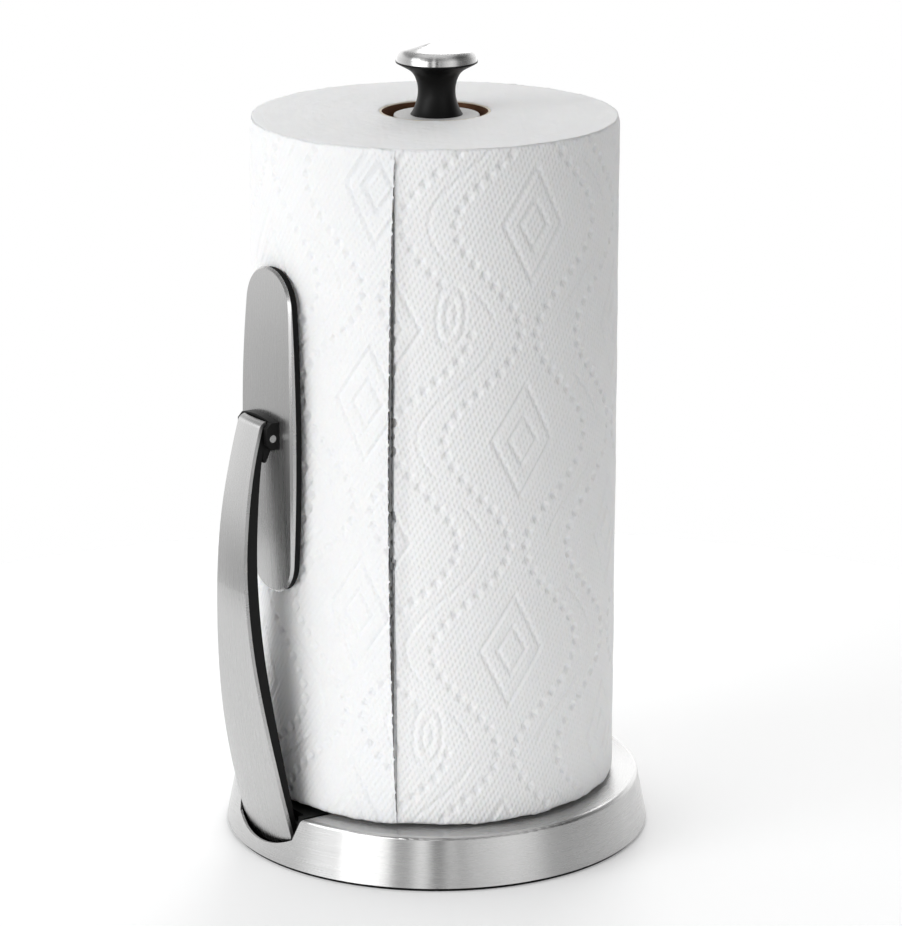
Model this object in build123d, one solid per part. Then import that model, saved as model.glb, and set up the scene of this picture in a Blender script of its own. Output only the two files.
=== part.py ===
from build123d import *
import math
import os

# Paper towel holder with a sprung tension arm, loaded with one roll. Millimetres, +Z up.
# The origin is the centre of the base's underside. The arm stands on the -X side, in the plane Y = 0.
# "out" below is the distance from the origin towards -X, so a point (out, z) lies at x = -out.

# Base
BASE_R_BOTTOM = 88.6
BASE_R_TOP = 84.5
BASE_TOP = 22.2
SHELL_BOTTOM = 1.5
SHELL_WALL = 1.0
SHELL_EDGE_R = 1.8
FOOT_PAD_TOP = 1.5
FOOT_PAD_R = 87.3
PAN_TOP = 4.0
PAN_R = 86.4
WEIGHT_R = 79.0
WEIGHT_TOP = 16.5
WEIGHT_BOSS_R = 30.0
WEIGHT_BAY_OUT = 57.5
WEIGHT_BAY_HALF = 26.0
WEIGHT_NUT_BORE_R = 9.0
PAN_SCREW_R = 2.0
PAN_SCREW_HEAD_R = 3.8
PAN_SCREW_TOP = 12.0
PAN_SCREW_SPOTS = [(x, y) for x in (-42.4, 42.4) for y in (-42.4, 42.4)]

# Post, tie rod and knob
POST_R = 17.0
POST_WALL = 1.2
POST_FOOT_R = 20.2
POST_FOOT_FLANGE = 2.0
POST_SOCKET_H = 10.0
POST_SOCKET_R = 18.6
POST_CAP_R = 17.4
POST_CAP_TOP = 300.8
POST_CAP_THICK = 2.8
POST_CAP_SPIGOT = 8.0
ROD_R = 3.0
ROD_HOLE_R = 3.2
ROD_BOTTOM = 5.2
ROD_TOP = 316.0
NUT_H = 5.0
NUT_CORNER_R = 5.8
WASHER_H = 1.2
WASHER_R = 7.5
KNOB_RIM_Z = 322.6
KNOB_RIM_R = 16.4
KNOB_TOP = 330.2
KNOB_WALL = 0.8
KNOB_SHOULDER = (16.15, 324.8)
KNOB_BEND = (15.4, 326.3)
KNOB_EDGE = (13.4, 327.6)
KNOB_DOME_MIDDLE = (6.7, 329.1)
NECK_FOOT_R = 10.6
NECK_LIP_R = 16.55
INSERT_STEM_R = 5.0
INSERT_PLATE_R = 14.3
INSERT_PLATE_TOP = 324.9

# Arm, in side view: two arcs that meet at the belly, and a small bend over the top
BELLY_OUT = 99.5
BELLY_Z = 117.6
ARM_R_UPPER = 239.0
ARM_R_LOWER = 404.0
ARM_THICK = 6.4
ARM_R_UPPER_INNER = 340.0
ARM_R_LOWER_INNER = 500.0
ARM_BEND_R = 3.3
ARM_BEND_Z = 184.4
ARM_CROWN_AXIS_OUT = 18.0
COVER_WALL = 1.0
COVER_RIM = 1.45
CORE_INSET = 0.35
FOOT_Z = 6.8
FOOT_BOTTOM_R = 50.0
FOOT_CORNER_R = 5.0
# Arm, in front view: its half width at heights above the foot
ARM_HALF_WIDTHS = [
    (18.8, 25), (18.2, 45), (16.3, 67), (13.7, 89), (11.7, 110), (10.3, 131), (9.5, 150), (8.45, 178)]

# Arm hinge, in the base
PIVOT_OUT = 75.2
PIVOT_Z = 12.0
PIVOT_R = 3.0
RUNNING_GAP = 0.05
LUG_R = 5.9
LUG_HALF_WIDTH = 16.5
LUG_REACH = 6.9
SPRING_GAP_HALF = 7.0
BUSHING_R = 4.3
BUSHING_FLANGE_R = 5.0
SPRING_R = 4.6
SPRING_WIRE_R = 0.7
SPRING_TURNS = 5
SPRING_PITCH = 1.9
HOUSING_HALF_WIDTH = 24.3
HOUSING_PLUG_HALF = 23.4
HOUSING_CAVITY_HALF = 20.2
HOUSING_IN = 62.3
HOUSING_BACK = 64.5
HOUSING_LID_OUT = 77.6
HOUSING_FLOOR = 5.4
HOUSING_LID_UNDER = 19.6
HOUSING_TOP = 22.0
HOUSING_FACE_IN = 58.5
HOUSING_SCREW_R = 1.2
HOUSING_SCREW_HEAD_R = 2.4
HOUSING_SCREW_TOP = 8.5
HOUSING_SCREW_SPOTS = [(-68.0, -22.3), (-68.0, 22.3)]

# Notch in the base for the arm's foot
NOTCH_BOTTOM_Z = 7.2
NOTCH_CORNER = (20.8, 12.5)
NOTCH_WALL_TOP = (23.2, 20.0)
NOTCH_LIP_MIDDLE = (24.3, 21.6)
NOTCH_MOUTH_HALF = 26.6

# Pressure pad on the arm
PAD_Z = 180.3
PAD_HALF_LENGTH = 67.15
PAD_HALF_WIDTH = 19.2
PAD_SIDE_R = 600.0
PAD_CORNER_R = 16.0
PAD_END_R = 24.0
PAD_FACE_OUT = 82.4
PAD_CROWN_R = 200.0
PAD_END_DROP = 2.4
PAD_RIM_OUT = 79.0
PAD_RUBBER_OUT = 76.2
PLATE_WALL = 0.9
PLATE_BEVEL = 0.85

# Pad hinge
PIN_OUT = 85.2
PIN_R = 1.5
TONGUE_OUT = 86.7
TONGUE_R = 4.0
TONGUE_ROOT_OUT = 87.8
TONGUE_HALF = 8.3
BRACKET_HALF = 11.5
BRACKET_SLOT_HALF = 8.8
BRACKET_BOTTOM_Z = 175.5
BRACKET_SIDE_TOP_Z = 186.7
BRACKET_CROWN_Z = 188.0
BRACKET_OUT = 87.8
BRIDGE_OUT = 85.8
BRIDGE_UNDER_Z = 185.2
BRACKET_SCREW_R = 1.2
BRACKET_SCREW_HEAD_R = 2.0
BRACKET_SCREW_HEAD_X = -80.3
BRACKET_SCREW_SPOTS = [(-10.1, PAD_Z + 4.0), (10.1, PAD_Z + 4.0)]

# Roll
ROLL_OUT = 0.8
ROLL_R = 75.05
SHEET_THICK = 0.5
SHEET_GAP = 0.05
ROLL_TOP = 301.4
CORE_TOP = 302.2
CORE_R = 22.5
CORE_WALL = 0.9
SHEET_EDGE_DEG = 224.0
SHEET_OPEN_DEG = 4.0


def tube(radius, bore, low, high):
    """An upright ring from height low to height high."""
    ring = Circle(radius) - Circle(bore)
    return extrude(Pos(0, 0, low) * ring, high - low)


def disc(radius, low, high):
    """An upright solid cylinder."""
    return extrude(Pos(0, 0, low) * Circle(radius), high - low)


def block(out_low, out_high, half_width, low, high):
    """A box that is centred on Y = 0, given by its distances out and its heights."""
    size = Box(out_high - out_low, 2 * half_width, high - low)
    return Pos(-(out_low + out_high) / 2, 0, (low + high) / 2) * size


def rod_y(radius, out, z, y_low, y_high):
    """A cylinder that lies along Y."""
    turned = Rot(-90, 0, 0) * Cylinder(radius, y_high - y_low)
    return Pos(-out, (y_low + y_high) / 2, z) * turned


def spin(*edges):
    """A solid of revolution about Z from edges drawn as (radius, z)."""
    return revolve(Plane.XZ * make_face(edges), Axis.Z, 360)


def screw(head_r, shank_r, x, y, low, head_top, high):
    """A countersunk screw that points up."""
    head = Pos(x, y, (low + head_top) / 2) * Cone(head_r, shank_r, head_top - low)
    shank = Pos(x, y, (head_top + high) / 2) * Cylinder(shank_r, high - head_top)
    return head + shank


# ---------------------------------------------------------------- base

def skirt_radius(z):
    """Outer radius of the base's sloping side at height z."""
    slope = (BASE_R_TOP - BASE_R_BOTTOM) / (BASE_TOP - SHELL_BOTTOM)
    return BASE_R_BOTTOM + slope * (z - SHELL_BOTTOM)


def notch_outline():
    """The U in the base's side where the arm's foot stands, seen from the front as (y, z)."""
    corner_y, corner_z = NOTCH_CORNER
    wall_y, wall_z = NOTCH_WALL_TOP
    top = BASE_TOP + 5
    bottom = ThreePointArc((-corner_y, corner_z), (0, NOTCH_BOTTOM_Z), (corner_y, corner_z))
    edges = [bottom]
    for side in (-1, 1):
        wall = Line((side * corner_y, corner_z), (side * wall_y, wall_z))
        lip_start = (side * wall_y, wall_z)
        lip = ThreePointArc(lip_start, (side * NOTCH_LIP_MIDDLE[0], NOTCH_LIP_MIDDLE[1]),
                            (side * NOTCH_MOUTH_HALF, BASE_TOP))
        edges += [wall, lip, Line((side * NOTCH_MOUTH_HALF, BASE_TOP), (side * NOTCH_MOUTH_HALF, top))]
    edges.append(Line((-NOTCH_MOUTH_HALF, top), (NOTCH_MOUTH_HALF, top)))
    return make_face(edges)


def base_shell():
    """Spun steel shell: sloping skirt and flat top, with the arm's notch and the tie rod's hole."""
    inner_top = BASE_TOP - SHELL_WALL
    outline = Polyline(
        (ROD_HOLE_R, BASE_TOP), (BASE_R_TOP, BASE_TOP), (BASE_R_BOTTOM, SHELL_BOTTOM),
        (BASE_R_BOTTOM - SHELL_WALL, SHELL_BOTTOM), (skirt_radius(inner_top) - SHELL_WALL, inner_top),
        (ROD_HOLE_R, inner_top), close=True)
    profile = make_face(outline)
    outer_corner = profile.vertices().sort_by_distance((BASE_R_TOP, BASE_TOP))[0]
    profile = fillet(outer_corner, SHELL_EDGE_R)
    inner_corner = profile.vertices().sort_by_distance((skirt_radius(inner_top) - SHELL_WALL, inner_top))[0]
    profile = fillet(inner_corner, SHELL_EDGE_R - SHELL_WALL)
    shell = revolve(Plane.XZ * profile, Axis.Z, 360)
    notch = extrude(Plane.YZ * notch_outline(), 100 - HOUSING_IN, dir=(-1, 0, 0))
    return shell - Pos(-HOUSING_IN, 0, 0) * notch


def base_weight():
    """Cast weight with a central boss, a bay for the arm's hinge and a seat for the tie rod's nut."""
    body = disc(WEIGHT_R, PAN_TOP, WEIGHT_TOP) + disc(WEIGHT_BOSS_R, WEIGHT_TOP, BASE_TOP - SHELL_WALL)
    body -= block(WEIGHT_BAY_OUT, 90, WEIGHT_BAY_HALF, 0, 30)
    body -= disc(ROD_HOLE_R, 0, 30)
    body -= disc(WEIGHT_NUT_BORE_R, 0, ROD_BOTTOM + 1 + NUT_H + WASHER_H)
    for x, y in PAN_SCREW_SPOTS:
        body -= Pos(x, y, PAN_TOP) * Cylinder(PAN_SCREW_R, 16)
    return body


def base_pan():
    """Plastic bottom pan with countersinks for its own screws and the housing's."""
    pan = disc(PAN_R, FOOT_PAD_TOP, PAN_TOP)
    return pan - pan_screws() - housing_screws()


def pan_screws():
    """Four countersunk screws that hold the pan to the weight."""
    sizes = (PAN_SCREW_HEAD_R, PAN_SCREW_R)
    screws = [screw(*sizes, x, y, FOOT_PAD_TOP, 3.3, PAN_SCREW_TOP) for x, y in PAN_SCREW_SPOTS]
    return Compound(children=[s.solid() for s in screws])


def housing_screws():
    """Two countersunk screws that hold the hinge housing to the pan."""
    sizes = (HOUSING_SCREW_HEAD_R, HOUSING_SCREW_R)
    screws = [screw(*sizes, x, y, FOOT_PAD_TOP, 2.7, HOUSING_SCREW_TOP) for x, y in HOUSING_SCREW_SPOTS]
    return Compound(children=[s.solid() for s in screws])


def base_foot_pad():
    return disc(FOOT_PAD_R, 0, FOOT_PAD_TOP)


def hinge_housing():
    """Black well behind the notch. It holds the arm's pivot pin and closes the base's top round the arm."""
    gap = 0.3
    inner_top = BASE_TOP - SHELL_WALL - 0.1
    room = spin(*Polyline(
        (0, PAN_TOP), (skirt_radius(PAN_TOP) - SHELL_WALL - gap, PAN_TOP),
        (skirt_radius(inner_top) - SHELL_WALL - gap - 0.6, inner_top), (0, inner_top), close=True).edges())
    body = room & block(HOUSING_FACE_IN, 95, HOUSING_HALF_WIDTH, 0, 40)
    plug = disc(BASE_R_TOP - 1.6, inner_top, HOUSING_TOP) & block(
        HOUSING_IN + gap, 95, HOUSING_PLUG_HALF, 0, 40)
    body += plug
    body -= block(HOUSING_LID_OUT, 100, HOUSING_CAVITY_HALF, HOUSING_FLOOR, 40)
    body -= block(HOUSING_BACK, HOUSING_LID_OUT + 1, HOUSING_CAVITY_HALF, HOUSING_FLOOR, HOUSING_LID_UNDER)
    body -= rod_y(PIVOT_R, PIVOT_OUT, PIVOT_Z, -HOUSING_HALF_WIDTH, HOUSING_HALF_WIDTH)
    return body - housing_screws()


def arm_pivot_pin():
    return rod_y(PIVOT_R, PIVOT_OUT, PIVOT_Z, -HOUSING_HALF_WIDTH, HOUSING_HALF_WIDTH)


def torsion_spring():
    """Coil round the pivot pin, with one leg down to the housing's floor and one up behind the arm."""
    height = SPRING_TURNS * SPRING_PITCH
    helix = Helix(SPRING_PITCH, height, SPRING_R)
    wire_section = Plane(origin=helix @ 0, z_dir=helix % 0) * Circle(SPRING_WIRE_R)
    coil = sweep(wire_section, path=helix, is_frenet=True)
    coil = Pos(-PIVOT_OUT, -height / 2, PIVOT_Z) * (Rot(-90, 0, 0) * (Rot(0, 0, 180) * coil))
    leg_out = PIVOT_OUT + SPRING_R
    down = Pos(-leg_out, -height / 2, (HOUSING_FLOOR + PIVOT_Z) / 2) * Cylinder(
        SPRING_WIRE_R, PIVOT_Z - HOUSING_FLOOR)
    up = Pos(-leg_out, height / 2, PIVOT_Z + 3) * Cylinder(SPRING_WIRE_R, 6)
    return coil + down + up


# ---------------------------------------------------------------- post and knob

def post_foot():
    """Plastic socket that centres the post on the base."""
    flange_top = BASE_TOP + POST_FOOT_FLANGE
    foot = disc(POST_FOOT_R, BASE_TOP, flange_top)
    foot += tube(POST_SOCKET_R, POST_R, flange_top, flange_top + POST_SOCKET_H)
    return foot - disc(ROD_HOLE_R, 0, 60)


def post_tube():
    return tube(POST_R, POST_R - POST_WALL, BASE_TOP + POST_FOOT_FLANGE, POST_CAP_TOP - POST_CAP_THICK)


def post_cap():
    """Pale disc that closes the post, with a spigot inside the tube."""
    under = POST_CAP_TOP - POST_CAP_THICK
    cap = disc(POST_CAP_R, under, POST_CAP_TOP) + disc(POST_R - POST_WALL, under - POST_CAP_SPIGOT, under)
    cap = fillet(cap.edges().filter_by(GeomType.CIRCLE).sort_by(Axis.Z)[-1], 0.5)
    return cap - disc(ROD_HOLE_R, 280, 310)


def tie_rod():
    return disc(ROD_R, ROD_BOTTOM, ROD_TOP)


def tie_rod_nut():
    nut_low = ROD_BOTTOM + 1
    hexagon = RegularPolygon(NUT_CORNER_R, 6) - Circle(ROD_R)
    return extrude(Pos(0, 0, nut_low) * hexagon, NUT_H)


def tie_rod_washer():
    washer_low = ROD_BOTTOM + 1 + NUT_H
    return tube(WASHER_R, ROD_R, washer_low, washer_low + WASHER_H)


def knob_neck():
    """Soft black neck: a flared foot on the post's cap, a waist, and a flange under the metal cap."""
    side = Spline((NECK_FOOT_R, POST_CAP_TOP), (9.6, 302.5), (8.6, 305), (7.75, 308.2), (7.6, 310.5),
                  (7.8, 312.8), (8.6, 315.6), (9.8, 317.7), (12.2, 319.6), (NECK_LIP_R - 0.3, 321.8))
    lip = Polyline((NECK_LIP_R - 0.3, 321.8), (NECK_LIP_R, 322.0), (NECK_LIP_R, KNOB_RIM_Z),
                   (INSERT_STEM_R, KNOB_RIM_Z), (INSERT_STEM_R, POST_CAP_TOP), (NECK_FOOT_R, POST_CAP_TOP))
    neck = spin(side, *lip.edges())
    return neck


def dome_edges(inset):
    """The metal cap's outer face from rim to apex, or the same face inset millimetres inside it."""
    rim = (KNOB_RIM_R - inset, KNOB_RIM_Z)
    shoulder = (KNOB_SHOULDER[0] - inset, KNOB_SHOULDER[1])
    bend = (KNOB_BEND[0] - inset, KNOB_BEND[1] - 0.6 * inset)
    edge = (KNOB_EDGE[0] - inset, KNOB_EDGE[1] - inset)
    middle = (KNOB_DOME_MIDDLE[0], KNOB_DOME_MIDDLE[1] - inset)
    apex = (0, KNOB_TOP - inset)
    dome = Spline(edge, middle, apex, tangents=[(-1, 0.3), (-1, 0)])
    return [Line(rim, shoulder), ThreePointArc(shoulder, bend, edge), dome]


def knob_cap():
    """Thin brushed steel cap with a rolled shoulder and a very shallow dome on top."""
    outer = dome_edges(0)
    inner = dome_edges(KNOB_WALL)
    return spin(*outer, *inner, Line(outer[0] @ 0, inner[0] @ 0), Line(outer[-1] @ 1, inner[-1] @ 1))


def knob_insert():
    """Plastic core of the knob: a stem inside the neck that takes the tie rod, and a disc inside the cap."""
    stem = disc(INSERT_STEM_R, POST_CAP_TOP, KNOB_RIM_Z)
    plate = disc(INSERT_PLATE_R, KNOB_RIM_Z, INSERT_PLATE_TOP)
    return stem + plate - disc(ROD_R, 280, ROD_TOP)


# ---------------------------------------------------------------- arm

def arm_outer_edges(depth):
    """The arm's outer face in side view, depth millimetres under its surface, from foot to top end."""
    low_z = 3.0
    low_centre_out = BELLY_OUT - ARM_R_LOWER
    up_centre_out = BELLY_OUT - ARM_R_UPPER
    low_r = ARM_R_LOWER - depth
    low_out = low_centre_out + math.sqrt(low_r ** 2 - (BELLY_Z - low_z) ** 2)
    turn = math.asin((ARM_BEND_Z - BELLY_Z) / ARM_R_UPPER)
    up_r = ARM_R_UPPER - depth
    bend_out, bend_z = arm_bend_centre()
    bend_r = ARM_BEND_R - depth
    belly = (-(BELLY_OUT - depth), BELLY_Z)
    bend_start = (-(up_centre_out + up_r * math.cos(turn)), BELLY_Z + up_r * math.sin(turn))
    middle = (turn + math.pi / 2) / 2
    bend_middle = (-(bend_out + bend_r * math.cos(middle)), bend_z + bend_r * math.sin(middle))
    bend_end = (-bend_out, bend_z + bend_r)
    lower = RadiusArc((-low_out, low_z), belly, low_r)
    upper = RadiusArc(belly, bend_start, up_r)
    bend = ThreePointArc(bend_start, bend_middle, bend_end)
    return [lower, upper, bend]


def arm_bend_centre():
    """Centre of the small bend at the arm's top, as (out, z)."""
    turn = math.asin((ARM_BEND_Z - BELLY_Z) / ARM_R_UPPER)
    reach = ARM_R_UPPER - ARM_BEND_R
    return BELLY_OUT - ARM_R_UPPER + reach * math.cos(turn), BELLY_Z + reach * math.sin(turn)


def arm_revolved(edges):
    """Side-view edges turned about an upright axis inside the base, so that the arm is crowned across."""
    crown_axis = Axis((-ARM_CROWN_AXIS_OUT, 0, 0), (0, 0, 1))
    return revolve(Plane.XZ * make_face(edges), crown_axis, 360)


def arm_layer(near, far):
    """The arm's skin between two depths under its outer face."""
    outer = arm_outer_edges(near)
    inner = arm_outer_edges(far)
    foot = Line(outer[0] @ 0, inner[0] @ 0)
    top = Line(outer[-1] @ 1, inner[-1] @ 1)
    return arm_revolved(outer + inner + [foot, top])


def arm_outline(inset):
    """The arm's front view, pushed through the whole arm, inset millimetres inside its edge."""
    corner_r = FOOT_CORNER_R - inset
    bottom_r = FOOT_BOTTOM_R - inset
    centre_z = FOOT_Z + FOOT_BOTTOM_R
    corner_y = ARM_HALF_WIDTHS[0][0] - FOOT_CORNER_R
    corner_z = centre_z - math.sqrt((FOOT_BOTTOM_R - FOOT_CORNER_R) ** 2 - corner_y ** 2)
    low = math.atan2(corner_z - centre_z, corner_y)
    join = (bottom_r * math.cos(low), centre_z + bottom_r * math.sin(low))
    side_start = (corner_y + corner_r, corner_z)
    mid = (corner_y + corner_r * math.cos(low / 2), corner_z + corner_r * math.sin(low / 2))
    sides = [(y - inset, z) for y, z in ARM_HALF_WIDTHS]
    top = 200.0
    edges = [ThreePointArc((-join[0], join[1]), (0, FOOT_Z + inset), join)]
    for s in (-1, 1):
        flank = [(s * y, z) for y, z in [side_start] + sides]
        corner = [(s * y, z) for y, z in (join, mid, side_start)]
        edges.append(ThreePointArc(*corner))
        edges.append(Spline(flank, tangents=[(0, 1), (0, 1)]))
        edges.append(Line(flank[-1], (flank[-1][0], top)))
    edges.append(Line((-sides[-1][0], top), (sides[-1][0], top)))
    return extrude(Plane.YZ * make_face(edges), 130, dir=(-1, 0, 0))


def arm_cover():
    """Brushed steel cover: a crowned face with a narrow return along its sides and foot."""
    tray = arm_layer(0, COVER_RIM) & arm_outline(0)
    hollow = arm_layer(COVER_WALL, COVER_RIM + 0.5) & arm_outline(COVER_WALL)
    return tray - hollow


def arm_core():
    """Black core under the cover, with the tongue for the pad's pin and the lug for the pivot pin."""
    body = (core_band(COVER_RIM) & arm_outline(CORE_INSET)) + (
        core_band(COVER_WALL) & arm_outline(COVER_WALL + 0.03))
    lug = rod_y(LUG_R, PIVOT_OUT, PIVOT_Z, -LUG_HALF_WIDTH, LUG_HALF_WIDTH)
    lug += block(PIVOT_OUT, PIVOT_OUT + LUG_REACH, LUG_HALF_WIDTH, PIVOT_Z - 3, PIVOT_Z + 5)
    body += arm_tongue() + (lug - arm_layer(0, COVER_RIM + 0.05))
    body -= block(PIVOT_OUT - 8, PIVOT_OUT + 5.8, SPRING_GAP_HALF, 3, 21)
    for side in (-1, 1):
        ends = sorted((side * SPRING_GAP_HALF, side * (LUG_HALF_WIDTH + 1)))
        body -= rod_y(BUSHING_R, PIVOT_OUT, PIVOT_Z, *ends)
        seat_ends = sorted((side * LUG_HALF_WIDTH, side * HOUSING_CAVITY_HALF))
        body -= rod_y(BUSHING_FLANGE_R + 0.2, PIVOT_OUT, PIVOT_Z, *seat_ends)
    body -= rod_y(PIN_R + RUNNING_GAP, PIN_OUT, PAD_Z, -20, 20)
    return body


def core_band(depth):
    """The core in side view: from depth under the outer face to the arm's inner face."""
    outer = arm_outer_edges(depth)
    top_z = 170.0
    inner_belly = (-(BELLY_OUT - ARM_THICK), BELLY_Z)
    up_centre_out = BELLY_OUT - ARM_THICK - ARM_R_UPPER_INNER
    inner_top = (-(up_centre_out + math.sqrt(ARM_R_UPPER_INNER ** 2 - (top_z - BELLY_Z) ** 2)), top_z)
    low_z = (outer[0] @ 0).Y
    low_centre_out = BELLY_OUT - ARM_THICK - ARM_R_LOWER_INNER
    low_out = low_centre_out + math.sqrt(ARM_R_LOWER_INNER ** 2 - (BELLY_Z - low_z) ** 2)
    lower = RadiusArc((-low_out, low_z), inner_belly, ARM_R_LOWER_INNER)
    upper = RadiusArc(inner_belly, inner_top, ARM_R_UPPER_INNER)
    step = (outer[-1] @ 1).X
    shoulder = (step, 183.0)
    edges = outer + [lower, upper, Line(outer[0] @ 0, lower @ 0)]
    edges += [Line(outer[-1] @ 1, shoulder), Line(shoulder, inner_top)]
    return arm_revolved(edges)


def arm_tongue():
    """Round tongue at the arm's top, between the bracket's cheeks."""
    root = -TONGUE_ROOT_OUT
    web = Polyline((root, 170), (-86.6, 170), (-82.9, 178.0), (-TONGUE_OUT, PAD_Z), (-TONGUE_OUT, 183.4),
                   (root, 183.4), close=True)
    round_end = Pos(-TONGUE_OUT, PAD_Z) * Circle(TONGUE_R) & Pos(root + 5, PAD_Z) * Rectangle(10, 20)
    outline = make_face(web) + round_end
    return extrude(Plane.XZ * outline, TONGUE_HALF, both=True)


def arm_bushings():
    """Two flanged bushings in the lug."""
    bushings = []
    for side in (-1, 1):
        flange_ends = sorted((side * LUG_HALF_WIDTH, side * (HOUSING_CAVITY_HALF - 0.3)))
        sleeve_ends = sorted((side * (SPRING_GAP_HALF + 0.5), side * LUG_HALF_WIDTH))
        bore_ends = sorted((side * SPRING_GAP_HALF, side * HOUSING_CAVITY_HALF))
        bushing = rod_y(BUSHING_FLANGE_R, PIVOT_OUT, PIVOT_Z, *flange_ends)
        bushing += rod_y(BUSHING_R, PIVOT_OUT, PIVOT_Z, *sleeve_ends)
        bushing -= rod_y(PIVOT_R + RUNNING_GAP, PIVOT_OUT, PIVOT_Z, *bore_ends)
        bushings.append(bushing.solid())
    return Compound(children=bushings)


# ---------------------------------------------------------------- pad

def on_circle(centre, radius, angle):
    """A point on a circle, with its angle in radians."""
    return centre[0] + radius * math.cos(angle), centre[1] + radius * math.sin(angle)


def pad_outline(inset, out_low, out_high):
    """The pad's long rounded outline, inset millimetres inside its edge, pushed from out_low to out_high.

    Its sides, corners and ends are arcs that run smoothly into each other.
    """
    side_centre = (PAD_HALF_WIDTH - PAD_SIDE_R, 0)
    end_centre = (0, PAD_HALF_LENGTH - PAD_END_R)
    reach = PAD_SIDE_R - PAD_CORNER_R
    apart = math.dist(side_centre, end_centre)
    bearing = math.atan2(end_centre[1], -side_centre[0])
    cosine = (reach ** 2 + apart ** 2 - (PAD_CORNER_R - PAD_END_R) ** 2) / (2 * reach * apart)
    side_angle = bearing + math.acos(cosine)
    corner_centre = on_circle(side_centre, reach, side_angle)
    end_angle = math.atan2(corner_centre[1] - end_centre[1], corner_centre[0])
    flank = on_circle(side_centre, PAD_SIDE_R - inset, side_angle)
    middle = on_circle(corner_centre, PAD_CORNER_R - inset, (side_angle + end_angle) / 2)
    shoulder = on_circle(end_centre, PAD_END_R - inset, end_angle)
    waist = (PAD_HALF_WIDTH - inset, 0)
    tip = (0, PAD_HALF_LENGTH - inset)

    def placed(point, across, along):
        return across * point[0], along * point[1]

    edges = []
    for side in (-1, 1):
        edges.append(ThreePointArc(placed(flank, side, -1), placed(waist, side, 1), placed(flank, side, 1)))
        end = [placed(shoulder, -1, side), placed(tip, 1, side), placed(shoulder, 1, side)]
        edges.append(ThreePointArc(*end))
        for along in (-1, 1):
            ends = [placed(point, side, along) for point in (flank, middle, shoulder)]
            edges.append(ThreePointArc(*ends))
    section = Plane((-out_low, 0, PAD_Z), x_dir=(0, 1, 0), z_dir=(1, 0, 0))
    return extrude(section * make_face(edges), out_high - out_low, dir=(-1, 0, 0))


def pad_crown(inset):
    """Everything inside the plate's face, which is crowned across and along, less inset millimetres."""
    across_r = PAD_CROWN_R - inset
    along_r = PAD_HALF_LENGTH ** 2 / (2 * PAD_END_DROP) - inset
    face_x = inset - PAD_FACE_OUT
    side_y = PAD_HALF_WIDTH + 6
    side_x = face_x + across_r - math.sqrt(across_r ** 2 - side_y ** 2)
    back_x = face_x + 25
    face = ThreePointArc((side_x, -side_y), (face_x, 0), (side_x, side_y))
    back = Polyline((side_x, -side_y), (back_x, -side_y), (back_x, side_y), (side_x, side_y))
    section = Pos(0, 0, PAD_Z) * make_face([face] + back.edges())
    axis = Axis((face_x + along_r, 0, PAD_Z), (0, 1, 0))
    half_turn = 5.5
    return revolve(section.rotate(axis, -half_turn), axis, 2 * half_turn)


def pad_form(inset, depth):
    """The pad's solid form, inset from its edge and depth under its face. It runs back past the rim."""
    return pad_outline(inset, PAD_RIM_OUT - 10, PAD_FACE_OUT + 5) & pad_crown(depth)


def behind_rim():
    return block(PAD_RIM_OUT - 20, PAD_RIM_OUT, 50, 0, 300)


def pad_plate():
    """Brushed steel plate: a shallow crowned tray with a bevel round its face.

    The bracket's screws cut their own threads in it.
    """
    form = pad_form(0, 0)
    face = form.faces().sort_by(Axis.X)[0]
    form = chamfer(face.edges(), PLATE_BEVEL)
    return form - pad_form(PLATE_WALL, PLATE_WALL) - behind_rim()


def rod_x(radius, x, y, z, length):
    """A cylinder that lies along X, centred on a point."""
    return Pos(x, y, z) * (Rot(0, 90, 0) * Cylinder(radius, length))


def bracket_screws():
    """Two small screws from inside the tray into the bracket's cheeks."""
    screws = []
    for y, z in BRACKET_SCREW_SPOTS:
        head = rod_x(BRACKET_SCREW_HEAD_R, BRACKET_SCREW_HEAD_X, y, z, 1.2)
        shank = rod_x(BRACKET_SCREW_R, BRACKET_SCREW_HEAD_X - 2.6, y, z, 4.0)
        screws.append((head + shank).solid())
    return Compound(children=screws)


def pad_carrier():
    """Plastic carrier that fills the tray and holds the rubber."""
    gap = PLATE_WALL + 0.05
    carrier = pad_outline(gap, PAD_RIM_OUT, PAD_FACE_OUT + 5)
    for y, z in BRACKET_SCREW_SPOTS:
        carrier -= rod_x(BRACKET_SCREW_HEAD_R + 0.2, BRACKET_SCREW_HEAD_X, y, z, 3.0)
    return carrier & pad_crown(gap)


def pad_rubber():
    return pad_outline(0.5, PAD_RUBBER_OUT, PAD_RIM_OUT)


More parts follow.
